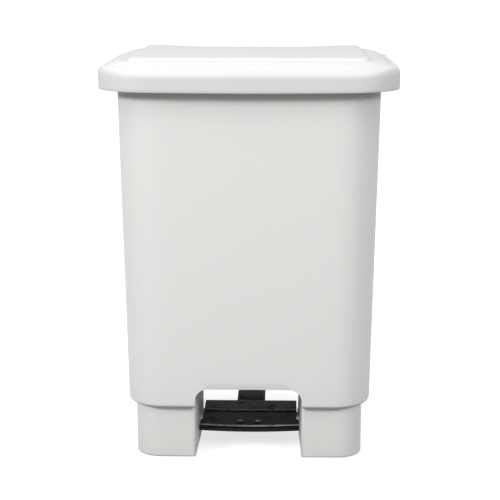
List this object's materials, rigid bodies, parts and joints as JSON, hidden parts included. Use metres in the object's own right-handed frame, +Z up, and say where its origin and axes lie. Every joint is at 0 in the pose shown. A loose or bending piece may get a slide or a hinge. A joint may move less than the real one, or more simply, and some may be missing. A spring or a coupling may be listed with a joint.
{
  "type": "pedal trash can",
  "caption": "Tall rectangular step-on waste bin with rounded corners, stepped lid, inset legs and a black foot pedal that lifts the lid through a push rod.",
  "frame": {"origin": "on the floor, under the middle of the lid's outline", "axes": "+Z up, +X to the right of someone facing the front, -Y is the front where the pedal is"},
  "size_m": [0.32, 0.276, 0.44],
  "materials": {
    "tub_plastic": "satin moulded plastic",
    "lid_plastic": "satin moulded plastic",
    "leg_plastic": "satin moulded plastic",
    "bucket_plastic": "satin moulded plastic",
    "pedal_plastic": "fine-grained moulded plastic",
    "guide_plastic": "moulded plastic",
    "bush_plastic": "natural acetal",
    "lever_steel": "black paint, satin",
    "rod_steel": "bright zinc plate",
    "screw_steel": "zinc-plated",
    "rubber": "matt rubber"
  },
  "bodies": {
    "tub": {"body_shell": "tub_plastic", "leg_left": "leg_plastic", "leg_right": "leg_plastic", "leg_screws": "screw_steel", "foot_pads": "rubber", "inner_bucket": "bucket_plastic", "axle_bushes": "bush_plastic", "rod_guide_upper": "guide_plastic", "rod_guide_lower": "guide_plastic", "guide_screws": "screw_steel", "hinge_pin_left": "rod_steel", "hinge_pin_right": "rod_steel"},
    "lid": {"lid": "lid_plastic", "lid_crank": "guide_plastic", "crank_screws": "screw_steel", "lid_buffers": "rubber"},
    "push_rod": {"push_rod": "rod_steel", "rod_caps": "guide_plastic"},
    "pedal": {"pedal_tread": "pedal_plastic", "pedal_lever": "lever_steel", "lever_rivets": "rod_steel", "pedal_axle": "rod_steel", "axle_clips": "screw_steel"}
  },
  "joints": [
    {"name": "lid_hinge", "type": "hinge", "parent": "tub", "child": "lid", "pos_m": [0, 0.126, 0.413], "axis": [-1, 0, 0], "range_deg": [0, 72]},
    {"name": "pedal_pivot", "type": "hinge", "parent": "tub", "child": "pedal", "pos_m": [0, 0, 0.0155], "axis": [1, 0, 0], "range_deg": [0, 10.37]},
    {"name": "rod_slide", "type": "slide", "parent": "tub", "child": "push_rod", "axis": [0, 0, 1], "range_m": [0, 0.02044]}
  ],
  "couplings": [
    {"joint": "pedal_pivot", "follows": "lid_hinge", "ratio": 0.14338},
    {"joint": "rod_slide", "follows": "lid_hinge", "m_per_rad": 0.016189}
  ]
}
